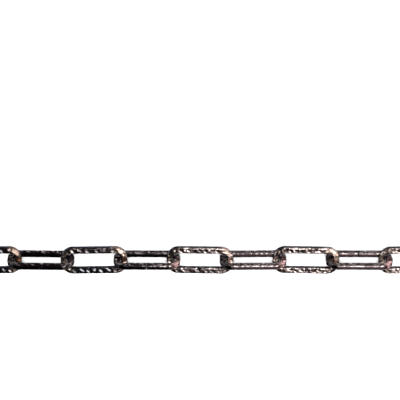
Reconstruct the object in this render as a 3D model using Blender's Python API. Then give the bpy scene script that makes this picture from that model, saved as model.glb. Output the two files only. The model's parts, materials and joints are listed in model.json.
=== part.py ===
"""A length of hammered iron chain, lying nearly straight on a level floor.

Every link is one piece of flattened wire, bent round until its two ends meet
in a butt seam half way along one of its bars. The wire is wider in the plane
of the link than it is thick across it. The links lean by turns to one side
and to the other, nearly square to each other, and each rests on the floor
along its lower bar.

The chain runs along X, the floor is z = 0, and all lengths are in metres.
"""
import math

import bmesh
import bpy
from mathutils import Matrix, Vector

# The chain
LINK_COUNT = 15
PITCH = 0.0333

# One link, measured over its outer edges
LINK_LENGTH = 0.0420
LINK_WIDTH = 0.0184

# The flattened wire: width in the plane of the link, thickness across it
WIRE_WIDTH = 0.0041
WIRE_THICKNESS = 0.0033
WIRE_EDGE_RADIUS = 0.0008

# Bend of the wire's centre line where a bar turns into a crown, and the share of
# its width that the wire loses half way round the bend
BEND_RADIUS = 0.0051
BEND_THINNING = 0.17

# Opening between the wire's two ends
SEAM_GAP = 0.0002

# How far the plane of a link leans from level
LOW_LEAN = math.radians(28.0)
STEEP_LEAN = math.radians(58.5)

# Links whose seam is in the bar on the floor; in the others it is in the raised bar
SEAM_IN_LOWER_BAR = (1, 4, 8, 9, 10, 11, 14)

# Fineness of the bends and of the wire's rounded edges
BEND_STEPS = 8
EDGE_STEPS = 2


def remove_all_objects():
    """Start from an empty scene."""
    for old in list(bpy.data.objects):
        bpy.data.objects.remove(old, do_unlink=True)


def make_material():
    """Return the dark, worn finish of the iron."""
    material = bpy.data.materials.new("blackened_iron")
    material.use_nodes = True
    shader = material.node_tree.nodes["Principled BSDF"]
    shader.inputs["Base Color"].default_value = (0.045, 0.034, 0.036, 1.0)
    shader.inputs["Metallic"].default_value = 0.9
    shader.inputs["Roughness"].default_value = 0.38
    return material


def wire_section():
    """Return the outline of the wire as (across the bar, through the link) pairs."""
    across = WIRE_WIDTH / 2 - WIRE_EDGE_RADIUS
    through = WIRE_THICKNESS / 2 - WIRE_EDGE_RADIUS
    centres = ((across, through), (-across, through), (-across, -through), (across, -through))
    outline = []
    for quarter, (centre_a, centre_t) in enumerate(centres):
        for step in range(EDGE_STEPS + 1):
            angle = math.pi / 2 * (quarter + step / EDGE_STEPS)
            outline.append((
                centre_a + WIRE_EDGE_RADIUS * math.cos(angle),
                centre_t + WIRE_EDGE_RADIUS * math.sin(angle),
            ))
    return outline


def wire_path():
    """Return the stations of the wire's centre line, from seam end to seam end.

    Each is a point, the direction out of the link there and the share of the
    wire's full width. The seam is in the bar on the +Y side of the link.
    """
    half_length = (LINK_LENGTH - WIRE_WIDTH) / 2
    half_width = (LINK_WIDTH - WIRE_WIDTH) / 2
    bend_x = half_length - BEND_RADIUS
    bend_y = half_width - BEND_RADIUS
    bends = ((-bend_x, bend_y, 90), (-bend_x, -bend_y, 180), (bend_x, -bend_y, 270), (bend_x, bend_y, 0))
    stations = [(Vector((-SEAM_GAP / 2, half_width, 0)), Vector((0, 1, 0)), 1.0)]
    for centre_x, centre_y, first_angle in bends:
        for step in range(BEND_STEPS + 1):
            angle = math.radians(first_angle + 90 * step / BEND_STEPS)
            outward = Vector((math.cos(angle), math.sin(angle), 0))
            share = 1 - BEND_THINNING * math.sin(math.pi * step / BEND_STEPS)
            stations.append((Vector((centre_x, centre_y, 0)) + outward * BEND_RADIUS, outward, share))
    stations.append((Vector((SEAM_GAP / 2, half_width, 0)), Vector((0, 1, 0)), 1.0))
    return stations


def make_link_mesh(name):
    """Sweep the wire's section along its path and close both seam ends."""
    section = wire_section()
    shape = bmesh.new()
    rings = []
    for point, outward, share in wire_path():
        ring = [shape.verts.new(point + outward * a * share + Vector((0, 0, t))) for a, t in section]
        rings.append(ring)
    for here, there in zip(rings, rings[1:]):
        for index in range(len(section)):
            following = (index + 1) % len(section)
            shape.faces.new((here[index], here[following], there[following], there[index]))
    shape.faces.new(rings[0])
    shape.faces.new(rings[-1])
    bmesh.ops.recalc_face_normals(shape, faces=shape.faces[:])
    mesh = bpy.data.meshes.new(name)
    shape.to_mesh(mesh)
    shape.free()
    mesh.shade_smooth()
    mesh.set_sharp_from_angle(angle=math.radians(40.0))
    return mesh


def resting_height(lean):
    """Height of a leaning link's centre when its lower bar touches the floor."""
    bar_offset = (LINK_WIDTH - WIRE_WIDTH) / 2 * math.sin(lean)
    reach = max(a * math.sin(lean) + t * math.cos(lean) for a, t in wire_section())
    return bar_offset + reach


def place_link(number, material):
    """Add link 1, 2, 3 and so on, counted from the left-hand end."""
    name = "link_%02d" % number
    leans_low = number % 2 == 0
    lean = LOW_LEAN if leans_low else STEEP_LEAN
    tilt = LOW_LEAN if leans_low else -STEEP_LEAN
    raised_side = 1 if leans_low else -1
    seam_side = -raised_side if number in SEAM_IN_LOWER_BAR else raised_side
    mesh = make_link_mesh(name)
    mesh.materials.append(material)
    if seam_side < 0:
        mesh.transform(Matrix.Rotation(math.pi, 4, "Z"))
    link = bpy.data.objects.new(name, mesh)
    link.location = ((number - (LINK_COUNT + 1) / 2) * PITCH, 0.0, resting_height(lean))
    link.rotation_euler = (tilt, 0.0, 0.0)
    bpy.context.scene.collection.objects.link(link)
    return link


def main():
    remove_all_objects()
    material = make_material()
    for number in range(1, LINK_COUNT + 1):
        place_link(number, material)


main()
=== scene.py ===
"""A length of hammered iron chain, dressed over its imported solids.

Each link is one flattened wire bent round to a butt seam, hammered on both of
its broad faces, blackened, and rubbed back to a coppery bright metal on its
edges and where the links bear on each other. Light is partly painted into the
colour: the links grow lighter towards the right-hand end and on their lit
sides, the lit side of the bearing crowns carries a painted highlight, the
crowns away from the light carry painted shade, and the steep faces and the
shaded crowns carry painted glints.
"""
import json
import math
import random

import bmesh
import bpy
import numpy as np
from mathutils import Matrix, Vector


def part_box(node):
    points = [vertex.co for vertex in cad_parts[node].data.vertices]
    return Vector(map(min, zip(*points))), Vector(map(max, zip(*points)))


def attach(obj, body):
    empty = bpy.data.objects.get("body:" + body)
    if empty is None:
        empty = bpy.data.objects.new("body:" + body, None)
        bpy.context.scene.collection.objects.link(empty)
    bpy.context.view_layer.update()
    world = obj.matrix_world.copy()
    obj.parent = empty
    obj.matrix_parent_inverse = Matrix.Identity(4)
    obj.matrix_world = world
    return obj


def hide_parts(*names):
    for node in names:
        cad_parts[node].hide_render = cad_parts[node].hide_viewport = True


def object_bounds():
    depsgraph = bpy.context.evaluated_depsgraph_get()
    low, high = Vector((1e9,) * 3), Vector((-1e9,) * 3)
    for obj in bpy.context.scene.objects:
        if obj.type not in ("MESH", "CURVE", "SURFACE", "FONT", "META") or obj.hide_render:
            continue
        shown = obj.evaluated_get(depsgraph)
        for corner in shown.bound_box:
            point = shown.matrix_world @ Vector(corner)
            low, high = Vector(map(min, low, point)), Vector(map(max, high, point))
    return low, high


bl_info = {
    "name": "Hammered Iron Chain",
    "version": (1, 0, 0),
    "blender": (4, 5, 0),
    "location": "3D View > Sidebar > Chain",
    "description": "Models a length of hammered iron chain and its studio",
    "category": "Add Mesh",
}

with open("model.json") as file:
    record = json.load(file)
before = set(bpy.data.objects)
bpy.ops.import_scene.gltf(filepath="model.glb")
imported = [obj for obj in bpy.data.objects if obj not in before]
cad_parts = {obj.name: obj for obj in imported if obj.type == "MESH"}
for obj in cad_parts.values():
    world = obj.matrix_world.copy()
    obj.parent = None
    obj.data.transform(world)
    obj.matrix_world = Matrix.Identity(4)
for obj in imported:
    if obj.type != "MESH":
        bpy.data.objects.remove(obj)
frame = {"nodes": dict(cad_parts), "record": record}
CAD_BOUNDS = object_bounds()
LINK_NAMES = sorted(frame["nodes"])

# Distance from one link to the next
PITCH = 0.0333

# Links whose seam is in the bar on the floor; in the others it is in the raised bar
SEAM_IN_LOWER_BAR = (1, 4, 8, 9, 10, 11, 14)

# What each link's hammer marks grow from
MARK_SEEDS = (401, 402, 403, 404, 405, 6, 407, 408, 409, 410, 411, 412, 413, 414, 415)

# How many degrees each link lies askew of the chain's line
ASKEW = (0.4, -0.5, 0.3, 0.5, -0.7, 0.8, -0.3, -0.7, 0.4, -0.9, -0.3, 0.6, -0.4, 0.4, 0.0)

# Fineness of the wire's rounded edges and of the rims of its cut ends
EDGE_SEGMENTS = 5
RIM_SEGMENTS = 2

# Points nearer than this become one, and edges flatter than this are shaded smooth
MERGE_DISTANCE = 0.000001
SMOOTH_ANGLE = math.radians(35.0)

# How far from its middle a crown is swollen fully and at all, in shares of its straight half
SWOLLEN_REACH = (0.8, 1.8)

# How far the dents of the row lie to either side of the wire's middle
FLATTER_ROW_ASIDE = 0.0005
STEEPER_ROW_ASIDE = 0.0010

# How dents in the row vary, in shares of their set sizes, turn, slope and spacing
DENT_SIZES = (0.8, 1.1)
DENT_DEPTHS = (0.8, 1.2)
DENT_TURNS = (0.75, 1.2)
DENT_SPACINGS = (0.85, 1.15)
LEAST_SLOPE = 0.8
MOST_SLOPE = 1.15

# How much of its slope a dent has along the bar and across it
SLOPE_ALONG_BAR = 0.55
SLOPE_ACROSS_BAR = 0.85

# What the worn links have more of: uneven slopes, closer dents, and dents that slant the other way
WILD_SLOPES = 1.2
WILD_CLOSENESS = 0.2
CROSSED_ON_UPPER_BAR = 0.6
CROSSED_ON_LOWER_BAR = 0.25

# The broad dent on each bend: shares of the set sizes, and how its place, turn and slope vary
BEND_DENT_LENGTH = 1.7
BEND_DENT_WIDTH = 1.8
BEND_DENT_DEPTH = 1.5
BEND_DENT_ASIDE = 0.0002
BEND_DENT_TURN = 0.1
BEND_DENT_SWAY = 0.03
BEND_DENT_SLOPES = (0.18, 0.24)

# Small stray dents: how many to each dent of the row, shares of the set sizes, and how they vary
STRAYS = 0.5
WILD_STRAYS = 2.0
STRAY_LENGTHS = (0.35, 0.65)
STRAY_WIDTHS = (0.5, 0.8)
STRAY_DEPTHS = (0.4, 0.9)
STRAY_ASIDE = 0.0017
STRAY_TURN = 1.5
STRAY_SLOPE = 0.10

# Ripple in the dents' outlines: its size, and two waves each for x and y, in radians to the metre
RIPPLE = 0.00006
RIPPLE_WAVES = (((1700, 2900), (5100, -2300)), ((2300, -1900), (3100, 4700)))

# Difference in height of two scoops at which the ridge between them has faded to a third
RIDGE_FADE = 0.00004

# Depth that counts as wholly hollow, in set depths
WHOLE_HOLLOW = 2

# How far from the seam its blackness fades
SEAM_FADE = (0.0003, 0.0006)

# Shares of the rounding over which the edge and the broad face fade in
EDGE_SHARE = 0.2
BROAD_SHARE = 0.5

# Where a crown fades in, from the end of its bar, and how much further out on the steeper links
CROWN_START = -0.003
CROWN_WHOLE = 0.002
STEEPER_CROWN_SHIFT = 0.0025

# Where the upper half fades in, and where the rust lies and fades, from the link's middle
UPPER_HALF = (-0.001, 0.002)
RUST_CENTRE = 0.0006
RUST_FADE = (0.0006, 0.0020)

# How much painted shade the crowns away from the light get, on the left-hand crowns and the lower right-hand
# crowns, and how much less the shaded places and the steeper links wear
LEFT_CROWN_SHADE = 0.75
LOWER_CROWN_SHADE = 0.7
SHADE_PATINA_LOSS = 0.7
STEEPER_PATINA_LOSS = 0.5

# Wear of the least worn links, and where it starts to grow and over how much of the chain; the rise is partly
# real wear and partly painted light, lighter towards the right-hand end where the lights stand
LEAST_WEAR_AND_LIGHT = 0.10
WEAR_AND_LIGHT_START = 0.285
WEAR_AND_LIGHT_STRETCH = 0.33

# How many links further along a point counts as, for its place on its own link: painted light that makes each
# link lighter to the right and, on the flatter links, on the upper bar, where the light falls; the steeper
# links lag on the ramp and stay darker
WEAR_AND_LIGHT_RIGHTWARD = 0.6
FLATTER_WEAR_AND_LIGHT_UPWARD = 0.8
STEEPER_WEAR_AND_LIGHT_UPWARD = -0.2
STEEPER_RAMP_LAG = 0.4

# What the meshes keep for the finish
KEPT = ("seam", "edge", "broad", "ridge", "hollow", "crown", "rust", "steep", "patina_and_light", "painted_crown_shade", "tone")

# Patterns of the finish, as patches to the metre
GRAIN = 1400.0
SPOTS = 520.0
STROKES = 360.0
PITS = 2200.0

# Detail of the grain, of the pits and of the patterns on the crowns
GRAIN_DETAIL = 4.0
PIT_DETAIL = 5.0
CROWN_DETAIL = 2.0

# Patterns of the finish, as patches to the metre and the part of each that fades in
PATCHES = (480.0, 0.44, 0.57)
# Painted glints on the steep faces
GLINTS = (850.0, 0.54, 0.60)
STROKE_GAPS = (420.0, 0.38, 0.46)
# Painted highlight flecks on the shaded crowns
GLINT_FLECKS = (760.0, 0.56, 0.62)
# Rubbing on the crowns, which also carries a painted highlight
RUBBING_AND_HIGHLIGHT = (260.0, 0.25, 0.42)
RUSTING = (330.0, 0.38, 0.50)

# Streaks on the steeper crowns: their pattern, slant, and the scale that draws them out
STREAKS = (900.0, 0.42, 0.58)
STREAK_SLANT = math.radians(-28.0)
STREAK_SCALE = (0.2, 1.0, 1.0)

# How much each thing wears the black, and what wear all of them together have to pass
PATCH_WEAR = 0.8
PLAIN_WEAR = 0.2
GROUND_WEAR = 0.50
RIDGE_WEAR = 0.25
GRAIN_WEAR = 0.3
WEAR_THRESHOLD = 0.2
HOLLOW_KEEPS_BLACK = (0.35, 0.8, 1.0, 0.0)
# How much of the wear is left under the painted shade of the crowns away from the light
SHADED_WEAR = 0.25

# Wear along the edges: more spots with tone, the spots, and the unbroken line between them; as the tone
# follows the ramp of wear and painted light, the edges too grow lighter towards the lit end
SPOTS_BY_TONE = (0.15, 0.45, 0.0, 0.11)
EDGE_SPOTS = (0.55, 0.74, 0.08, 0.62)
EDGE_LINE = (0.35, 0.8, 0.0, 0.21)
STEEPER_EDGE_WEAR = 0.9

# Parts of a value over which a colour fades in, and how strongly some of them do
BURNISHED_HOLLOWS = (0.1, 0.4)
# Where in the dents the painted glints of the steep faces lie
GLINTING_HOLLOWS = (0.15, 0.35)
MAUVE_TONES = (0.55, 0.95)
STROKE_WALLS = (0.06, 0.14, 1.0, 0.0)
# How much of the painted highlight flecks the steeper links keep
STEEPER_GLINT_FLECKS = 0.3
BROWN_WEAR = (0.05, 0.30)
COPPER_WEAR = (0.17, 0.40)
BRIGHT_WEAR = (0.45, 0.80)
SOOTY_HOLLOWS = (0.28, 0.48)
SOOTY_PATINA = (0.3, 0.6)
SOOT_OFF_EDGES = (0.1, 0.5, 1.0, 0.0)
PINK_TONES = (0.15, 0.60)
STROKES_ON_PINK = 0.5
STROKES_ON_STRAW = 0.6
SEAM_BLACK = (0.004, 0.004, 0.004)

# Gloss of the iron, and its pits
LEAST_ROUGHNESS = 0.08
GRAIN_ROUGHNESS = 0.10
BROAD_ROUGHNESS = 0.08
CROWN_ROUGHNESS = 0.08
EDGE_TINT = (0.45, 0.45, 0.5, 1.0)
PIT_STRENGTH = 0.35
PIT_DEPTH = 0.00003
PIT_ROUGHNESS = 0.65

# The floor, the nearest that the camera sees, and the light that falls on the floor alone
FLOOR_SIZE = 8.0
FLOOR_GAP = 0.00005
FLOOR_ROUGHNESS = 0.9
FLOOR_SPECULAR = 0.1
CAMERA_NEAREST = 0.01
FILL_PLACE = (0.0, 0.0, 2.4)
FILL_SIZE = 1.4

# The softboxes that the metal reflects: place, width, depth, colour, setting and share of it
SOFTBOXES = {
    "key": ((0.33, -0.85, 1.20), 0.70, 0.60, (1.0, 1.0, 1.0), "key_brightness", 1.0),
    "overhead": ((0.45, -0.05, 1.50), 1.06, 1.00, (1.0, 0.97, 0.96), "overhead_brightness", 1.0),
    "front": ((0.43, -0.95, 0.76), 0.92, 0.36, (1.0, 0.93, 0.91), "front_brightness", 1.0),
    "low_front": ((0.45, -1.00, 0.42), 0.90, 0.34, (1.0, 0.93, 0.91), "front_brightness", 0.25),
    "back": ((0.45, 1.00, 0.25), 1.20, 0.35, (1.0, 1.0, 1.0), "back_brightness", 1.0),
}


class ChainSizes(bpy.types.PropertyGroup):
    """Sizes of one link and of the wire it is bent from."""

    link_length: bpy.props.FloatProperty(
        name="Link Length", description="Length over the crowns", default=0.0420, unit="LENGTH")
    link_width: bpy.props.FloatProperty(
        name="Link Width", description="Width over the two bars", default=0.0184, unit="LENGTH")
    wire_width: bpy.props.FloatProperty(
        name="Wire Width", description="Width of the wire in the plane of the link", default=0.0041,
        unit="LENGTH")
    wire_thickness: bpy.props.FloatProperty(
        name="Wire Thickness", description="Thickness of the wire across the link", default=0.0033,
        unit="LENGTH")
    edge_radius: bpy.props.FloatProperty(
        name="Edge Radius", description="Rounding along the wire's four edges", default=0.0008, unit="LENGTH")
    bend_radius: bpy.props.FloatProperty(
        name="Bend Radius", description="Bend of the wire's centre line at the crowns", default=0.0051,
        unit="LENGTH")
    bend_thinning: bpy.props.FloatProperty(
        name="Bend Thinning", description="Share of its width that the wire loses half way round a bend",
        default=0.17, subtype="FACTOR")
    seam_gap: bpy.props.FloatProperty(
        name="Seam Gap", description="Opening between the two ends of the wire", default=0.00012,
        unit="LENGTH")
    seam_rounding: bpy.props.FloatProperty(
        name="Seam Rounding", description="Rounding of the cut ends at the seam", default=0.00018,
        unit="LENGTH")
    crown_swelling: bpy.props.FloatProperty(
        name="Crown Swelling", description="Metal gathered inside the crowns", default=0.0001, unit="LENGTH")
    grid: bpy.props.FloatProperty(
        name="Grid", description="Spacing of the mesh that carries the hammer marks", default=0.00026,
        unit="LENGTH")
    low_lean: bpy.props.FloatProperty(
        name="Low Lean", description="Lean from level of the even links", default=math.radians(28.0),
        subtype="ANGLE")
    steep_lean: bpy.props.FloatProperty(
        name="Steep Lean", description="Lean from level of the odd links", default=math.radians(58.5),
        subtype="ANGLE")


class HammerMarks(bpy.types.PropertyGroup):
    """The blows that dent the broad faces of the wire."""

    spacing: bpy.props.FloatProperty(
        name="Spacing", description="Distance from one slanting blow to the next", default=0.0048,
        unit="LENGTH")
    length: bpy.props.FloatProperty(
        name="Length", description="Length of one dent", default=0.0040, unit="LENGTH")
    width: bpy.props.FloatProperty(
        name="Width", description="Width of one dent", default=0.0025, unit="LENGTH")
    depth: bpy.props.FloatProperty(
        name="Depth", description="Depth of one dent", default=0.00013, unit="LENGTH")
    tilt: bpy.props.FloatProperty(
        name="Tilt", description="Slope of the dents towards the link's raised right-hand side", default=0.22)
    slant: bpy.props.FloatProperty(
        name="Slant", description="Turn of a dent from the run of the wire", default=math.radians(42.0),
        subtype="ANGLE")


class IronColours(bpy.types.PropertyGroup):
    """Colours of the blackened iron, from its hollows to its rubbed edges, with painted shade, painted
    highlights and painted glints among them.
    """

    black: bpy.props.FloatVectorProperty(
        name="Black", description="Blackened face", default=(0.0085, 0.0085, 0.0112), subtype="COLOR")
    # Umber, and dim, mauve, brown, copper and bright below, follow the ramp of wear and painted light, so
    # they lighten the links towards the lit right-hand end
    umber: bpy.props.FloatVectorProperty(
        name="Umber", description="Thinner black on the worn links", default=(0.018, 0.0125, 0.0115),
        subtype="COLOR")
    smooth: bpy.props.FloatVectorProperty(
        name="Smooth Black", description="Smooth narrow sides of the wire", default=(0.017, 0.0165, 0.0205),
        subtype="COLOR")
    # Painted shade: the near-black of the crowns that face away from the light
    teal: bpy.props.FloatVectorProperty(
        name="Teal", description="Black of the crowns that do not rub", default=(0.010, 0.012, 0.013),
        subtype="COLOR")
    dim: bpy.props.FloatVectorProperty(
        name="Dim", description="Worn black of the steep faces", default=(0.018, 0.0138, 0.0145),
        subtype="COLOR")
    mauve: bpy.props.FloatVectorProperty(
        name="Mauve", description="Smooth sides of the worn steep links", default=(0.046, 0.034, 0.038),
        subtype="COLOR")
    # Painted glints: bright spots on the steep faces that stand in for highlights
    glint: bpy.props.FloatVectorProperty(
        name="Glint", description="Burnished spots on the steep faces", default=(0.42, 0.385, 0.39),
        subtype="COLOR")
    soot: bpy.props.FloatVectorProperty(
        name="Soot", description="Black left in the hollows", default=(0.0056, 0.0038, 0.0033),
        subtype="COLOR")
    burnished: bpy.props.FloatVectorProperty(
        name="Burnished", description="Black polished by the hammer inside the dents",
        default=(0.056, 0.056, 0.061), subtype="COLOR")
    # Straw, cream and pink are the rubbed crowns, partly a painted highlight on their lit side
    straw: bpy.props.FloatVectorProperty(
        name="Straw", description="Rubbed crowns of the flatter links", default=(0.09, 0.068, 0.055),
        subtype="COLOR")
    # Cream also paints the highlight flecks on the shaded crowns
    cream: bpy.props.FloatVectorProperty(
        name="Cream", description="Rubbed crowns of the worn flatter links", default=(0.27, 0.205, 0.172),
        subtype="COLOR")
    pink: bpy.props.FloatVectorProperty(
        name="Pink", description="Rubbed crowns of the steeper links", default=(0.44, 0.25, 0.245),
        subtype="COLOR")
    brown: bpy.props.FloatVectorProperty(
        name="Brown", description="Thin brown where the black is worn", default=(0.062, 0.044, 0.042),
        subtype="COLOR")
    copper: bpy.props.FloatVectorProperty(
        name="Copper", description="Rubbed coppery metal", default=(0.20, 0.168, 0.160), subtype="COLOR")
    bright: bpy.props.FloatVectorProperty(
        name="Bright", description="Burnished ridges and edges", default=(0.60, 0.50, 0.48), subtype="COLOR")
    rust: bpy.props.FloatVectorProperty(
        name="Rust", description="Orange brown where the crowns rub", default=(0.040, 0.0175, 0.0095),
        subtype="COLOR")


class StudioSettings(bpy.types.PropertyGroup):
    """The floor, the lights and the camera."""

    view_width: bpy.props.FloatProperty(
        name="View Width", description="Width of floor that the picture shows", default=0.2512, unit="LENGTH")
    camera_height: bpy.props.FloatProperty(
        name="Camera Height", description="Height of the camera above the chain", default=1.2, unit="LENGTH")
    chain_below_centre: bpy.props.FloatProperty(
        name="Chain Below Centre", description="How far the chain lies below the picture's centre",
        default=0.0377, unit="LENGTH")
    floor_colour: bpy.props.FloatVectorProperty(
        name="Floor", description="Pale floor", default=(0.92, 0.92, 0.92), subtype="COLOR")
    world_strength: bpy.props.FloatProperty(
        name="World Strength", description="Brightness of the studio beyond the lights", default=0.04,
        min=0.0)
    fill_brightness: bpy.props.FloatProperty(
        name="Fill Brightness", description="Wide overhead light on the floor alone", default=20.0, min=0.0)
    key_brightness: bpy.props.FloatProperty(
        name="Key Brightness", description="Small strong softbox in front, on the right", default=19, min=0.0)
    overhead_brightness: bpy.props.FloatProperty(
        name="Overhead Brightness", description="Softbox overhead, right of the middle", default=9.0, min=0.0)
    front_brightness: bpy.props.FloatProperty(
        name="Front Brightness", description="Low softbox in front, on the right", default=3.1, min=0.0)
    back_brightness: bpy.props.FloatProperty(
        name="Back Brightness", description="Low softbox behind", default=9.0, min=0.0)


class LinkForm:
    """Worked out sizes of a link, and where each point of it lies on its wire."""

    def __init__(self, sizes):
        self.half_wire = sizes.wire_width / 2
        self.half_thick = sizes.wire_thickness / 2
        self.edge = sizes.edge_radius
        self.bend = sizes.bend_radius
        self.thinning = sizes.bend_thinning
        self.half_length = sizes.link_length / 2 - self.half_wire
        self.half_width = sizes.link_width / 2 - self.half_wire
        self.bend_x = self.half_length - self.bend
        self.bend_y = self.half_width - self.bend
        self.arc = math.pi / 2 * self.bend
        self.run = 4 * (self.bend_x + self.bend_y + self.arc)

    def off_centre(self, points):
        """Distance of each point outside the wire's centre line."""
        over_x = np.abs(points[:, 0]) - self.bend_x
        over_y = np.abs(points[:, 1]) - self.bend_y
        round_bend = np.hypot(over_x, over_y) - self.bend
        on_bar = np.where(over_y > 0, over_y, over_x) - self.bend
        return np.where((over_x > 0) & (over_y > 0), round_bend, on_bar)

    def along_wire(self, points):
        """Distance of each point along the wire from its seam, going round by the -X end first."""
        x = points[:, 0]
        y = points[:, 1]
        over_x = np.maximum(np.abs(x) - self.bend_x, 0.0)
        over_y = np.maximum(np.abs(y) - self.bend_y, 0.0)
        turn = np.arctan2(over_x, over_y) * self.bend
        to_corner = np.minimum(np.abs(x), self.bend_x) + turn
        rest = self.bend_y - np.minimum(np.abs(y), self.bend_y)
        upper = to_corner + rest
        near = np.where(y > 0, upper, self.run / 2 - upper)
        return np.where(x < 0, near, self.run - near)

    def station(self, distance):
        """Point of the centre line at a distance along the wire, and the way the wire runs there."""
        distance = distance % self.run
        half = self.run / 2
        mirrored = distance > half
        along = self.run - distance if mirrored else distance
        lower = along > self.run / 4
        within = half - along if lower else along
        if within < self.bend_x:
            place, way = Vector((-within, self.half_width)), Vector((-1.0, 0.0))
        elif within < self.bend_x + self.arc:
            angle = (within - self.bend_x) / self.bend
            place = Vector((-self.bend_x - self.bend * math.sin(angle),
                            self.bend_y + self.bend * math.cos(angle)))
            way = Vector((-math.cos(angle), -math.sin(angle)))
        else:
            place = Vector((-self.half_length, self.bend_y + self.bend_x + self.arc - within))
            way = Vector((0.0, -1.0))
        if lower:
            place.y, way.x = -place.y, -way.x
        if mirrored:
            place.x, way.x = -place.x, -way.x
            way = -way
        return place, way


def is_steeper(number):
    """Tell whether a link is an odd one, which leans steeply."""
    return number % 2 == 1


def is_turned(number):
    """Tell whether a link's seam is in its bar on the -Y side."""
    raised_seam = number not in SEAM_IN_LOWER_BAR
    return is_steeper(number) == raised_seam


def select_only(piece):
    """Select one piece and nothing else, and make it the active one."""
    bpy.ops.object.select_all(action="DESELECT")
    piece.select_set(True)
    bpy.context.view_layer.objects.active = piece


def select_edges_of_length(piece, length):
    """Select the edges that are as long as this, within a hundredth."""
    bpy.ops.mesh.select_mode(type="EDGE")
    bpy.ops.mesh.select_all(action="DESELECT")
    shape = bmesh.from_edit_mesh(piece.data)
    for edge in shape.edges:
        edge.select_set(abs(edge.calc_length() - length) < length / 100)
    bmesh.update_edit_mesh(piece.data)


def cut_edges_of_length(piece, length, spacing):
    """Divide the edges of this length into steps of about the given spacing."""
    select_edges_of_length(piece, length)
    bpy.ops.mesh.subdivide(number_cuts=max(1, round(length / spacing) - 1))


def select_face_at(piece, place):
    """Select the one face whose centre is nearest to a place."""
    bpy.ops.mesh.select_mode(type="FACE")
    bpy.ops.mesh.select_all(action="DESELECT")
    shape = bmesh.from_edit_mesh(piece.data)
    nearest = min(shape.faces, key=lambda face: (face.calc_center_median() - place).length)
    nearest.select_set(True)
    bmesh.update_edit_mesh(piece.data)


def extrude_by(x, y):
    """Draw the selected end of the wire out straight."""
    bpy.ops.mesh.extrude_region_move(TRANSFORM_OT_translate={"value": (x, y, 0.0)})


def bend_round(x, y, steps):
    """Bend the selected end of the wire a quarter turn round an upright axis."""
    bpy.ops.mesh.spin(steps=steps, dupli=False, angle=-math.pi / 2, center=(x, y, 0.0), axis=(0.0, 0.0, 1.0))


def round_cut_end(piece, place, radius):
    """Break the rim of a cut end of the wire."""
    select_face_at(piece, place)
    bpy.ops.mesh.region_to_loop()
    bpy.ops.mesh.bevel(affect="EDGES", offset=radius, segments=RIM_SEGMENTS, profile=0.5)


def add_wire_end(sizes, form):
    """Add the wire's cut end: a plane across the wire with its corners rounded."""
    bpy.ops.object.select_all(action="DESELECT")
    bpy.ops.mesh.primitive_plane_add(size=1.0, rotation=(0.0, math.pi / 2, 0.0))
    piece = bpy.context.object
    piece.name = "link_blank"
    bpy.ops.transform.resize(value=(1.0, sizes.wire_width, sizes.wire_thickness))
    bpy.ops.transform.translate(value=(-sizes.seam_gap / 2, form.half_width, 0.0))
    bpy.ops.object.transform_apply(location=True, rotation=True, scale=True)
    select_only(piece)
    bpy.ops.object.mode_set(mode="EDIT")
    bpy.ops.mesh.select_mode(type="VERT")
    bpy.ops.mesh.select_all(action="SELECT")
    bpy.ops.mesh.bevel(affect="VERTICES", offset=sizes.edge_radius, segments=EDGE_SEGMENTS, profile=0.5)
    cut_edges_of_length(piece, sizes.wire_width - 2 * sizes.edge_radius, sizes.grid)
    cut_edges_of_length(piece, sizes.wire_thickness - 2 * sizes.edge_radius, sizes.grid)
    return piece


def bend_wire(piece, sizes, form):
    """Run the wire round the link from one side of the seam to the other, and close its ends."""
    x, y = form.bend_x, form.bend_y
    steps = round((form.bend + form.half_wire / 2) * math.pi / 2 / sizes.grid)
    to_seam = x - sizes.seam_gap / 2
    bpy.ops.mesh.select_mode(type="FACE")
    bpy.ops.mesh.select_all(action="SELECT")
    extrude_by(-to_seam, 0.0)
    bend_round(-x, y, steps)
    extrude_by(0.0, -2 * y)
    bend_round(-x, -y, steps)
    extrude_by(2 * x, 0.0)
    bend_round(x, -y, steps)
    extrude_by(0.0, 2 * y)
    bend_round(x, y, steps)
    extrude_by(-to_seam, 0.0)
    for length in (to_seam, 2 * x, 2 * y):
        cut_edges_of_length(piece, length, sizes.grid)
    for side in (-1, 1):
        round_cut_end(piece, Vector((side * sizes.seam_gap / 2, form.half_width, 0.0)), sizes.seam_rounding)
    bpy.ops.mesh.select_all(action="SELECT")
    bpy.ops.mesh.remove_doubles(threshold=MERGE_DISTANCE)
    bpy.ops.mesh.normals_make_consistent(inside=False)
    bpy.ops.object.mode_set(mode="OBJECT")


def read_points(mesh):
    """Return the mesh's vertices as rows of x, y and z."""
    flat = np.empty(len(mesh.vertices) * 3)
    mesh.vertices.foreach_get("co", flat)
    return flat.reshape(-1, 3)


def write_points(mesh, points):
    """Move the mesh's vertices to rows of x, y and z."""
    mesh.vertices.foreach_set("co", points.ravel())
    mesh.update()


def ease(values, start, end):
    """Smooth step from 0 at start to 1 at end."""
    share = np.clip((values - start) / (end - start), 0.0, 1.0)
    return share * share * (3 - 2 * share)


def thin_bends(piece, form):
    """Narrow the wire half way round each bend, as bending stretches its outside."""
    points = read_points(piece.data)
    over_x = np.abs(points[:, 0]) - form.bend_x
    over_y = np.abs(points[:, 1]) - form.bend_y
    bent = (over_x > 0) & (over_y > 0)
    reach = np.hypot(over_x, over_y)
    angle = np.arctan2(over_x, over_y)
    share = 1 - form.thinning * np.sin(2 * angle)
    scale = np.where(bent, (form.bend + (reach - form.bend) * share) / np.where(bent, reach, 1.0), 1.0)
    signs = np.sign(points[:, :2])
    corner = signs * np.array((form.bend_x, form.bend_y))
    moved = corner + (points[:, :2] - corner) * scale[:, None]
    points[:, :2] = np.where(bent[:, None], moved, points[:, :2])
    write_points(piece.data, points)


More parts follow.
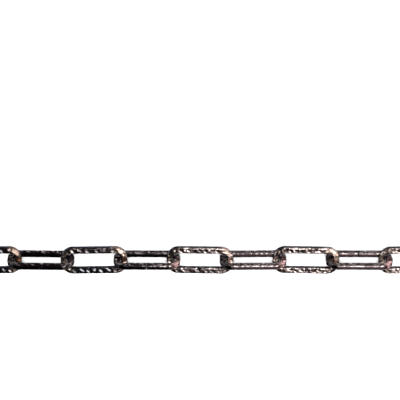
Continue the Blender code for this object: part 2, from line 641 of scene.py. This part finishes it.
def fill_crowns(piece, form, swelling):
    """Thicken the inside of the crowns a little, where the bends gather metal."""
    points = read_points(piece.data)
    inside = ease(-form.off_centre(points), 0.0, form.half_wire)
    fully, at_all = SWOLLEN_REACH
    middle = 1.0 - ease(np.abs(points[:, 1]), form.bend_y * fully, form.bend_y * at_all)
    crown = np.abs(points[:, 0]) > form.bend_x
    points[:, 0] -= np.sign(points[:, 0]) * swelling * inside * middle * crown
    write_points(piece.data, points)


class Blow:
    """One hammer blow on a broad face: a shallow slanting oval scoop."""

    def __init__(self, form, along, aside, slant, length, width, depth, slopes=(0.0, 0.0)):
        place, way = form.station(along)
        outward = Vector((way.y, -way.x))
        self.centre = place + outward * aside
        self.run = Matrix.Rotation(slant, 2) @ way
        self.half_length = length / 2
        self.half_width = width / 2
        self.depth = depth
        self.slopes = slopes

    def face_towards(self, slope_x, slope_y):
        """Tilt the scoop so that it falls away by these slopes along x and y."""
        self.slopes = (-slope_x * self.run.x - slope_y * self.run.y,
                       slope_x * self.run.y - slope_y * self.run.x)

    def floor(self, points, height):
        """Height of the scoop's surface over each point of the face."""
        from_x = points[:, 0] - self.centre.x
        from_y = points[:, 1] - self.centre.y
        u = from_x * self.run.x + from_y * self.run.y
        v = from_y * self.run.x - from_x * self.run.y
        reach = (u / self.half_length) ** 2 + (v / self.half_width) ** 2
        return height - self.depth * (1 - reach * reach) + self.slopes[0] * u + self.slopes[1] * v


def either_way(chance, most):
    """Draw a number from this far below nought to this far above."""
    return chance.uniform(-most, most)


def row_of_blows(form, marks, chance, side, turned, wild, aside):
    """Lay slanting ovals round one face, alternately higher and lower."""
    blows = []
    along = chance.uniform(0.0, 1.0) * marks.spacing
    beside = -aside
    while along < form.run:
        on_upper_bar = (form.station(along)[0].y > 0) != turned
        crossed = CROSSED_ON_UPPER_BAR if on_upper_bar else CROSSED_ON_LOWER_BAR
        slant = -side * marks.slant * chance.uniform(*DENT_TURNS)
        if chance.random() < crossed * wild:
            slant = -slant
        slope = marks.tilt * chance.uniform(LEAST_SLOPE - WILD_SLOPES * wild, MOST_SLOPE)
        if turned:
            slope = -slope
        blow = Blow(form, along, beside, slant,
                    marks.length * chance.uniform(*DENT_SIZES),
                    marks.width * chance.uniform(*DENT_SIZES),
                    marks.depth * chance.uniform(*DENT_DEPTHS))
        blow.face_towards(side * slope * SLOPE_ALONG_BAR, slope * SLOPE_ACROSS_BAR)
        blows.append(blow)
        beside = -beside
        along += marks.spacing * chance.uniform(*DENT_SPACINGS) * (1.0 - WILD_CLOSENESS * wild)
    return blows


def blows_on_bends(form, marks, chance):
    """Lay one broad flat blow on each of the four bends."""
    blows = []
    middle = form.bend_x + form.arc / 2
    for along in (middle, form.run / 2 - middle, form.run / 2 + middle, form.run - middle):
        aside = either_way(chance, BEND_DENT_ASIDE)
        slant = either_way(chance, BEND_DENT_TURN)
        slopes = (either_way(chance, BEND_DENT_SWAY), chance.uniform(*BEND_DENT_SLOPES))
        blows.append(Blow(form, along, aside, slant, marks.length * BEND_DENT_LENGTH,
                          marks.width * BEND_DENT_WIDTH, marks.depth * BEND_DENT_DEPTH, slopes))
    return blows


def stray_blows(form, marks, chance, wild):
    """Scatter small blows over one face, more of them on the worn links."""
    blows = []
    for _ in range(round(form.run / marks.spacing * (STRAYS + WILD_STRAYS * wild))):
        slopes = (either_way(chance, STRAY_SLOPE), either_way(chance, STRAY_SLOPE))
        along = chance.uniform(0.0, form.run)
        aside = either_way(chance, STRAY_ASIDE)
        slant = either_way(chance, STRAY_TURN)
        blows.append(Blow(form, along, aside, slant,
                          marks.length * chance.uniform(*STRAY_LENGTHS),
                          marks.width * chance.uniform(*STRAY_WIDTHS),
                          marks.depth * chance.uniform(*STRAY_DEPTHS), slopes))
    return blows


def warp(points, phase):
    """Shift points sideways by a gentle ripple, so that the dents' outlines are uneven."""
    bent = points.copy()
    for axis, waves in enumerate(RIPPLE_WAVES):
        for (along_x, along_y), shift in zip(waves, (phase, 0.0)):
            bent[:, axis] += RIPPLE * np.sin(along_x * points[:, 0] + along_y * points[:, 1] + shift)
    return bent


def hammer_face(points, form, blows, side):
    """Press one broad face down to the lowest scoop over each point.

    Returns how deep each point went and how near it is to a ridge between scoops.
    """
    height = points[:, 2] * side
    on_face = height > form.half_thick - form.edge
    struck = warp(points, side)
    lowest = np.full(len(points), form.half_thick)
    second = np.full(len(points), np.inf)
    for blow in blows:
        level = blow.floor(struck, form.half_thick)
        second = np.minimum(second, np.maximum(level, lowest))
        lowest = np.minimum(lowest, level)
    pressed = np.where(on_face, np.minimum(height, lowest), height)
    points[:, 2] = pressed * side
    depth = np.where(on_face, height - pressed, 0.0)
    ridge = np.where(on_face & (height >= lowest), np.exp(-(second - lowest) / RIDGE_FADE), 0.0)
    return depth, ridge


def store(mesh, name, values):
    """Keep a number for each vertex under a name that the material reads."""
    attribute = mesh.attributes.new(name, "FLOAT", "POINT")
    attribute.data.foreach_set("value", np.clip(values, 0.0, 1.0).astype(np.float32))


def wear_and_light_at(place):
    """How far the black has thinned at a place, counted in links from the left-hand end. The rise to the
    right is partly real thinning of the black and partly painted light, lighter towards the end where the
    lights stand.
    """
    share = (place - 1) / (len(LINK_NAMES) - 1)
    return LEAST_WEAR_AND_LIGHT + (1.0 - LEAST_WEAR_AND_LIGHT) * np.clip((share - WEAR_AND_LIGHT_START) / WEAR_AND_LIGHT_STRETCH, 0.0, 1.0)


def note_wire(mesh, flat, form):
    """Keep how near each point is to the seam and to an edge, and whether it is on a broad face."""
    along = form.along_wire(flat)
    across = (np.abs(form.off_centre(flat)) - form.half_wire + form.edge) / form.edge
    through = (np.abs(flat[:, 2]) - form.half_thick + form.edge) / form.edge
    store(mesh, "seam", 1.0 - ease(np.minimum(along, form.run - along), *SEAM_FADE))
    store(mesh, "edge", np.minimum(across, through) / EDGE_SHARE)
    store(mesh, "broad", through / BROAD_SHARE)


def note_wear(mesh, rightward, upward, number, form):
    """Keep where a link is rubbed and carries a painted highlight, where it is rusty, where its crowns carry
    painted shade, and how far its black has thinned, partly rubbed off and partly painted lighter towards the
    lit right-hand end.
    """
    steep = float(is_steeper(number))
    start, whole = form.bend_x + CROWN_START, form.bend_x + CROWN_WHOLE
    right_crown = ease(rightward - steep * STEEPER_CROWN_SHIFT, start, whole)
    left_crown = ease(-rightward, start, whole)
    upper = ease(upward, *UPPER_HALF)
    lower_crown = right_crown * (1.0 - upper) * (1.0 - steep)
    near_rust = 1.0 - ease(np.abs(upward - RUST_CENTRE), *RUST_FADE)
    # Painted shade on the left-hand crowns and the lower half of the flatter links' right-hand crowns, which
    # face away from the light
    painted_crown_shade = left_crown * LEFT_CROWN_SHADE + lower_crown * LOWER_CROWN_SHADE
    # Painted light: the ramp rises towards each link's right-hand end and, on the flatter links, towards the
    # upper bar, where the light falls; the steeper links lag on it and stay darker
    by_bar = STEEPER_WEAR_AND_LIGHT_UPWARD if steep else FLATTER_WEAR_AND_LIGHT_UPWARD
    by_place = rightward / PITCH * WEAR_AND_LIGHT_RIGHTWARD + upward / form.half_width * by_bar
    wear_and_light = wear_and_light_at(number - STEEPER_RAMP_LAG * steep + by_place)
    # Rubbing with a painted highlight, only on the right-hand crowns: their upper half on the flatter links,
    # their lower half on the steeper ones, where the light falls
    store(mesh, "crown", right_crown * (1.0 - upper if steep else upper))
    store(mesh, "rust", right_crown * near_rust * (1.0 - steep))
    store(mesh, "steep", np.full(len(upward), steep))
    store(mesh, "patina_and_light", wear_and_light * (1.0 - STEEPER_PATINA_LOSS * steep) * (1.0 - SHADE_PATINA_LOSS * painted_crown_shade))
    store(mesh, "painted_crown_shade", painted_crown_shade)
    store(mesh, "tone", wear_and_light)


def hammer_link(piece, number, form, marks, turned):
    """Hammer both broad faces of a link, and keep what the finish reads."""
    chance = random.Random(MARK_SEEDS[number - 1])
    wild = float(wear_and_light_at(number))
    aside = STEEPER_ROW_ASIDE if is_steeper(number) else FLATTER_ROW_ASIDE
    points = read_points(piece.data)
    flat = points.copy()
    hollow = np.zeros(len(points))
    ridge = np.zeros(len(points))
    for side in (1, -1):
        blows = row_of_blows(form, marks, chance, side, turned, wild, aside)
        blows += blows_on_bends(form, marks, chance)
        blows += stray_blows(form, marks, chance, wild)
        depth, near_ridge = hammer_face(points, form, blows, side)
        hollow += depth
        ridge += near_ridge
    write_points(piece.data, points)
    store(piece.data, "ridge", ridge)
    store(piece.data, "hollow", hollow / marks.depth / WHOLE_HOLLOW)
    note_wire(piece.data, flat, form)
    sense = -1 if turned else 1
    note_wear(piece.data, sense * flat[:, 0], sense * flat[:, 1], number, form)


def lay_link(piece, name, number, sizes):
    """Turn the link to its seam side, lean it, and move it to where its solid lies."""
    low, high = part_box(name)
    if is_turned(number):
        piece.data.transform(Matrix.Rotation(math.pi, 4, "Z"))
    lean = -sizes.steep_lean if is_steeper(number) else sizes.low_lean
    place = [(a + b) / 2 for a, b in zip(low, high)]
    turn = Matrix.Rotation(math.radians(ASKEW[number - 1]), 4, "Z") @ Matrix.Rotation(lean, 4, "X")
    piece.data.transform(Matrix.Translation(place) @ turn)
    piece.data.update()


def opaque(colour):
    """Return a colour with full alpha."""
    return (*colour, 1.0)


class Finish:
    """The nodes of a material, and the ways its patterns and colours combine."""

    def __init__(self, name):
        self.material = bpy.data.materials.new(name)
        self.material.use_nodes = True
        self.tree = self.material.node_tree
        self.shader = self.tree.nodes["Principled BSDF"]
        self.place = self.add("ShaderNodeTexCoord").outputs["Object"]

    def add(self, kind, **settings):
        """Add a node of this kind with its settings."""
        node = self.tree.nodes.new(kind)
        for name, value in settings.items():
            setattr(node, name, value)
        return node

    def plug(self, source, socket):
        """Join an output to an input, or set the input to a plain value."""
        if isinstance(source, bpy.types.NodeSocket):
            self.tree.links.new(source, socket)
        else:
            socket.default_value = source

    def calculate(self, operation, first, second, third=0.0):
        """Combine numbers and return the clamped result."""
        node = self.add("ShaderNodeMath", operation=operation, use_clamp=True)
        for source, socket in zip((first, second, third), node.inputs):
            self.plug(source, socket)
        return node.outputs[0]

    def times(self, first, second):
        """Multiply two numbers."""
        return self.calculate("MULTIPLY", first, second)

    def attribute(self, name):
        """Read one of the numbers kept on the mesh."""
        return self.add("ShaderNodeAttribute", attribute_name=name).outputs["Fac"]

    def cloud(self, scale, detail=3.0, roughness=0.55, place=None):
        """Return a noise pattern with this many patches to the metre."""
        node = self.add("ShaderNodeTexNoise")
        self.plug(place or self.place, node.inputs["Vector"])
        self.plug(scale, node.inputs["Scale"])
        self.plug(detail, node.inputs["Detail"])
        self.plug(roughness, node.inputs["Roughness"])
        return node.outputs["Fac"]

    def cell_walls(self, scale):
        """Return the distance from the walls of a net of cells, with this many cells to the metre."""
        node = self.add("ShaderNodeTexVoronoi", feature="DISTANCE_TO_EDGE")
        self.plug(self.place, node.inputs["Vector"])
        self.plug(scale, node.inputs["Scale"])
        return node.outputs["Distance"]

    def drawn_out(self, slant, scale):
        """Return coordinates that draw a pattern out into slanting streaks."""
        node = self.add("ShaderNodeMapping")
        self.plug(self.place, node.inputs["Vector"])
        self.plug((0.0, 0.0, slant), node.inputs["Rotation"])
        self.plug(scale, node.inputs["Scale"])
        return node.outputs["Vector"]

    def spread(self, value, low, high, to_low=0.0, to_high=1.0):
        """Stretch the part of a value between low and high."""
        node = self.add("ShaderNodeMapRange", clamp=True)
        for source, name in ((value, "Value"), (low, "From Min"), (high, "From Max"),
                             (to_low, "To Min"), (to_high, "To Max")):
            self.plug(source, node.inputs[name])
        return node.outputs["Result"]

    def patchy(self, scale, low, high, detail=3.0, place=None):
        """Return a noise pattern that fades in between low and high."""
        return self.spread(self.cloud(scale, detail, place=place), low, high)

    def down_to(self, share, value):
        """Return 1 where a value is 0, and this share where it is 1."""
        return self.spread(value, 0.0, 1.0, 1.0, share)

    def blend(self, share, first, second):
        """Mix two colours, each an output or a plain colour."""
        node = self.add("ShaderNodeMix", data_type="RGBA")
        self.plug(share, node.inputs[0])
        for colour, socket in ((first, node.inputs[6]), (second, node.inputs[7])):
            self.plug(colour if isinstance(colour, bpy.types.NodeSocket) else opaque(colour), socket)
        return node.outputs[2]


def wear_and_light_of_black(iron, kept, grain):
    """Return how far the black is rubbed off, on the faces by patches and along the edges by spots; along the
    chain it is also painted lighter towards the lit right-hand end, and it mostly stays black under the
    painted crown shade.
    """
    ground = iron.calculate("MULTIPLY_ADD", iron.patchy(*PATCHES), PATCH_WEAR, PLAIN_WEAR)
    ground = iron.times(iron.times(ground, kept["broad"]), kept["patina_and_light"])
    worn_and_lit = iron.calculate("MULTIPLY_ADD", kept["ridge"], RIDGE_WEAR, iron.times(ground, GROUND_WEAR))
    worn_and_lit = iron.calculate("MULTIPLY_ADD", grain, GRAIN_WEAR, worn_and_lit)
    worn_and_lit = iron.calculate("SUBTRACT", worn_and_lit, WEAR_THRESHOLD)
    worn_and_lit = iron.times(worn_and_lit, iron.spread(kept["hollow"], *HOLLOW_KEEPS_BLACK))
    spots = iron.calculate("ADD", iron.spread(kept["tone"], *SPOTS_BY_TONE), iron.cloud(SPOTS))
    line = iron.spread(kept["tone"], *EDGE_LINE)
    spots = iron.calculate("MAXIMUM", iron.spread(spots, *EDGE_SPOTS), line)
    edged = iron.times(kept["edge"], spots)
    edged = iron.times(edged, iron.down_to(STEEPER_EDGE_WEAR, kept["steep"]))
    worn_and_lit = iron.calculate("MAXIMUM", worn_and_lit, edged)
    return iron.times(worn_and_lit, iron.down_to(SHADED_WEAR, kept["painted_crown_shade"]))


def black_ground(iron, kept, strokes, colours):
    """Return the black under the rubbed metal: its broad faces and smooth sides, the painted shade of
    near-black teal on the crowns away from the light, painted glints on the steep faces and painted highlight
    specks on the shaded crowns.
    """
    flatter = iron.blend(kept["patina_and_light"], colours.black, colours.umber)
    flatter = iron.blend(iron.spread(kept["hollow"], *BURNISHED_HOLLOWS), flatter, colours.burnished)
    steeper = iron.blend(kept["tone"], colours.soot, colours.dim)
    # Painted glints: bright spots in the dents of the steep faces stand in for highlights
    glints = iron.times(iron.spread(kept["hollow"], *GLINTING_HOLLOWS), iron.patchy(*GLINTS))
    steeper = iron.blend(glints, steeper, colours.glint)
    face = iron.blend(kept["steep"], flatter, steeper)
    mauve = iron.times(kept["steep"], iron.spread(kept["tone"], *MAUVE_TONES))
    black = iron.blend(kept["broad"], iron.blend(mauve, colours.smooth, colours.mauve), face)
    # Painted shade: the crowns away from the light turn a near-black teal
    black = iron.blend(kept["painted_crown_shade"], black, colours.teal)
    # Painted highlights: cream flecks and strokes on the painted shade of the crowns
    glint_flecks = iron.calculate("MAXIMUM", strokes, iron.patchy(*GLINT_FLECKS))
    glint_flecks = iron.times(kept["painted_crown_shade"], glint_flecks)
    glint_flecks = iron.times(glint_flecks, iron.down_to(STEEPER_GLINT_FLECKS, kept["steep"]))
    return iron.blend(iron.times(glint_flecks, kept["broad"]), black, colours.cream)


def worn_and_lit_metal(iron, kept, black, worn_and_lit, colours):
    """Return the black thinned to brown, copper and bright metal where it is rubbed off and where light is
    painted on, with soot left in the hollows.
    """
    brown = iron.blend(kept["tone"], colours.black, colours.brown)
    metal = iron.blend(iron.spread(worn_and_lit, *BROWN_WEAR), black, brown)
    metal = iron.blend(iron.spread(worn_and_lit, *COPPER_WEAR), metal, colours.copper)
    metal = iron.blend(iron.spread(worn_and_lit, *BRIGHT_WEAR), metal, colours.bright)
    sooty = iron.times(iron.spread(kept["hollow"], *SOOTY_HOLLOWS),
                         iron.spread(kept["patina_and_light"], *SOOTY_PATINA))
    sooty = iron.times(sooty, iron.spread(kept["edge"], *SOOT_OFF_EDGES))
    return iron.blend(sooty, metal, colours.soot)


def rubbed_and_highlighted_crowns(iron, kept, metal, strokes, colours):
    """Return the metal with its bearing crowns rubbed and painted with a highlight on their lit side, rusty
    spots on them, and a black seam.
    """
    streaks = iron.patchy(*STREAKS, place=iron.drawn_out(STREAK_SLANT, STREAK_SCALE))
    pink = iron.blend(streaks, colours.mauve, colours.pink)
    pink = iron.blend(iron.spread(kept["tone"], *PINK_TONES), colours.smooth, pink)
    pink = iron.blend(iron.times(strokes, STROKES_ON_PINK), pink, colours.cream)
    straw = iron.blend(kept["tone"], colours.straw, colours.cream)
    straw = iron.blend(iron.times(strokes, STROKES_ON_STRAW), straw, colours.rust)
    # Rubbing and painted highlight on the lit side of the right-hand crowns
    rubbing_and_highlight = iron.times(kept["crown"], iron.patchy(*RUBBING_AND_HIGHLIGHT, detail=CROWN_DETAIL))
    metal = iron.blend(rubbing_and_highlight, metal, iron.blend(kept["steep"], straw, pink))
    rusty = iron.times(kept["rust"], iron.patchy(*RUSTING, detail=CROWN_DETAIL))
    metal = iron.blend(rusty, metal, colours.rust)
    return iron.blend(kept["seam"], metal, SEAM_BLACK)


def set_gloss(iron, kept, grain):
    """Polish the narrow sides most, and pit the whole surface finely."""
    iron.shader.inputs["Metallic"].default_value = 1.0
    iron.shader.inputs["Specular Tint"].default_value = EDGE_TINT
    gloss = iron.calculate("MULTIPLY_ADD", grain, GRAIN_ROUGHNESS, LEAST_ROUGHNESS)
    gloss = iron.calculate("MULTIPLY_ADD", kept["broad"], BROAD_ROUGHNESS, gloss)
    gloss = iron.calculate("MULTIPLY_ADD", kept["crown"], CROWN_ROUGHNESS, gloss)
    iron.plug(gloss, iron.shader.inputs["Roughness"])
    bump = iron.add("ShaderNodeBump")
    iron.plug(PIT_STRENGTH, bump.inputs["Strength"])
    iron.plug(PIT_DEPTH, bump.inputs["Distance"])
    iron.plug(iron.cloud(PITS, PIT_DETAIL, PIT_ROUGHNESS), bump.inputs["Height"])
    iron.plug(bump.outputs["Normal"], iron.shader.inputs["Normal"])


def make_blackened_iron(colours):
    """Return the finish: black in the hollows, coppery and bright where it is rubbed, with light and shade
    partly painted in as the light falls from the right.
    """
    iron = Finish("hammered_blackened_iron")
    kept = {name: iron.attribute(name) for name in KEPT}
    grain = iron.cloud(GRAIN, GRAIN_DETAIL)
    strokes = iron.spread(iron.cell_walls(STROKES), *STROKE_WALLS)
    strokes = iron.times(strokes, iron.patchy(*STROKE_GAPS))
    black = black_ground(iron, kept, strokes, colours)
    metal = worn_and_lit_metal(iron, kept, black, wear_and_light_of_black(iron, kept, grain), colours)
    metal = rubbed_and_highlighted_crowns(iron, kept, metal, strokes, colours)
    iron.plug(metal, iron.shader.inputs["Base Color"])
    set_gloss(iron, kept, grain)
    return iron.material


def iron_finish():
    """Return the iron finish, made once."""
    made = bpy.data.materials.get("hammered_blackened_iron")
    return made or make_blackened_iron(bpy.context.scene.iron_colours)


def body_of(node):
    """Return the name of the body that a node belongs to."""
    for body, members in frame["record"]["behaviour"]["bodies"].items():
        if node in members:
            return body
    raise RuntimeError("no body holds " + node)


def add_links(names):
    """Copy the blank for each of these links, hammer it and lay it over its solid."""
    sizes = bpy.context.scene.chain_sizes
    form = LinkForm(sizes)
    blank = bpy.data.objects.get("link_blank")
    if blank is None:
        raise RuntimeError("bend the link blank first")
    for name in names:
        number = int(name.split("_")[1])
        select_only(blank)
        bpy.ops.object.duplicate(linked=False)
        piece = bpy.context.object
        piece.name = "hammered_" + name
        piece.data.name = piece.name
        hammer_link(piece, number, form, bpy.context.scene.hammer_marks, is_turned(number))
        lay_link(piece, name, number, sizes)
        bpy.ops.object.shade_smooth_by_angle(angle=SMOOTH_ANGLE)
        piece.data.materials.clear()
        piece.data.materials.append(iron_finish())
        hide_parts(name)
        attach(piece, body_of(name))


class CHAIN_OT_link_blank(bpy.types.Operator):
    """Bend one length of flattened wire round to a butt seam."""

    bl_idname = "chain.link_blank"
    bl_label = "Link Blank"

    def execute(self, context):
        sizes = context.scene.chain_sizes
        form = LinkForm(sizes)
        piece = add_wire_end(sizes, form)
        bend_wire(piece, sizes, form)
        thin_bends(piece, form)
        fill_crowns(piece, form, sizes.crown_swelling)
        return {"FINISHED"}


class CHAIN_OT_flatter_links(bpy.types.Operator):
    """Hammer and lay the even links, which lean little."""

    bl_idname = "chain.flatter_links"
    bl_label = "Flatter Links"

    def execute(self, context):
        add_links(LINK_NAMES[1::2])
        return {"FINISHED"}


class CHAIN_OT_steeper_links(bpy.types.Operator):
    """Hammer and lay the odd links, which lean steeply."""

    bl_idname = "chain.steeper_links"
    bl_label = "Steeper Links"

    def execute(self, context):
        add_links(LINK_NAMES[0::2])
        return {"FINISHED"}


def remove_blank():
    """Take the blank away once every link is made."""
    blank = bpy.data.objects.get("link_blank")
    if blank is not None:
        bpy.data.objects.remove(blank, do_unlink=True)


def make_floor(settings):
    """Lay a pale matt floor under the chain."""
    bpy.ops.object.select_all(action="DESELECT")
    bpy.ops.mesh.primitive_plane_add(size=FLOOR_SIZE, location=(0.0, 0.0, CAD_BOUNDS[0][2] - FLOOR_GAP))
    floor = bpy.context.object
    floor.name = "studio_floor"
    material = bpy.data.materials.new("pale_floor")
    material.use_nodes = True
    shader = material.node_tree.nodes["Principled BSDF"]
    shader.inputs["Base Color"].default_value = opaque(settings.floor_colour)
    shader.inputs["Roughness"].default_value = FLOOR_ROUGHNESS
    shader.inputs["Specular IOR Level"].default_value = FLOOR_SPECULAR
    floor.data.materials.append(material)


def add_softbox(name, place, width, depth, brightness, colour=(1.0, 1.0, 1.0)):
    """Hang a rectangular softbox that faces the middle of the chain."""
    bpy.ops.object.light_add(type="AREA", location=place)
    lamp = bpy.context.object
    lamp.name = name
    lamp.rotation_euler = (-Vector(place)).to_track_quat("-Z", "Y").to_euler()
    lamp.visible_camera = False
    lamp.data.shape = "RECTANGLE"
    lamp.data.size = width
    lamp.data.size_y = depth
    lamp.data.energy = brightness * math.pi * width * depth
    lamp.data.color = colour
    return lamp


def add_camera(settings):
    """Look straight down on the middle of the chain, as the photograph does."""
    height = settings.camera_height + CAD_BOUNDS[1][2] / 2
    bpy.ops.object.camera_add(location=(0.0, settings.chain_below_centre, height), rotation=(0.0, 0.0, 0.0))
    camera = bpy.context.object
    camera.name = "photo_camera"
    camera.data.type = "PERSP"
    camera.data.sensor_fit = "HORIZONTAL"
    camera.data.lens = camera.data.sensor_width * settings.camera_height / settings.view_width
    camera.data.clip_start = CAMERA_NEAREST
    bpy.context.scene.camera = camera


def set_world(strength):
    """Fill the studio with a dim even grey."""
    world = bpy.data.worlds.new("studio_world")
    world.use_nodes = True
    ground = world.node_tree.nodes["Background"]
    ground.inputs["Color"].default_value = (1.0, 1.0, 1.0, 1.0)
    ground.inputs["Strength"].default_value = strength
    bpy.context.scene.world = world


class CHAIN_OT_studio(bpy.types.Operator):
    """Set up the floor, the softboxes and the camera."""

    bl_idname = "chain.studio"
    bl_label = "Studio"

    def execute(self, context):
        settings = context.scene.studio_settings
        make_floor(settings)
        set_world(settings.world_strength)
        fill = add_softbox("floor_fill", FILL_PLACE, FILL_SIZE, FILL_SIZE, settings.fill_brightness)
        fill.visible_glossy = False
        for name, (place, width, depth, colour, setting, share) in SOFTBOXES.items():
            brightness = getattr(settings, setting) * share
            add_softbox(name, place, width, depth, brightness, colour).visible_diffuse = False
        add_camera(settings)
        context.scene.view_settings.view_transform = "Standard"
        return {"FINISHED"}


STEPS = (CHAIN_OT_link_blank, CHAIN_OT_flatter_links, CHAIN_OT_steeper_links, CHAIN_OT_studio)
GROUPS = {"chain_sizes": ChainSizes, "hammer_marks": HammerMarks, "iron_colours": IronColours,
          "studio_settings": StudioSettings}


class CHAIN_PT_panel(bpy.types.Panel):
    """The chain's sizes and the steps that make it."""

    bl_label = "Chain"
    bl_idname = "CHAIN_PT_panel"
    bl_space_type = "VIEW_3D"
    bl_region_type = "UI"
    bl_category = "Chain"

    def draw(self, context):
        for group in (getattr(context.scene, name) for name in GROUPS):
            box = self.layout.box()
            for name in group.bl_rna.properties.keys():
                if name not in ("name", "rna_type"):
                    box.prop(group, name)
        for step in STEPS:
            self.layout.operator(step.bl_idname)


CLASSES = (*GROUPS.values(), *STEPS, CHAIN_PT_panel)


def register():
    """Add the settings, the steps and the panel."""
    for entry in CLASSES:
        bpy.utils.register_class(entry)
    for name, group in GROUPS.items():
        setattr(bpy.types.Scene, name, bpy.props.PointerProperty(type=group))


def unregister():
    """Take the settings, the steps and the panel away."""
    for name in GROUPS:
        delattr(bpy.types.Scene, name)
    for entry in reversed(CLASSES):
        bpy.utils.unregister_class(entry)


def main():
    """Make the chain and its studio, step by step."""
    register()
    bpy.ops.chain.link_blank()
    bpy.ops.chain.flatter_links()
    bpy.ops.chain.steeper_links()
    remove_blank()
    bpy.ops.chain.studio()


if __name__ == "__main__":
    main()
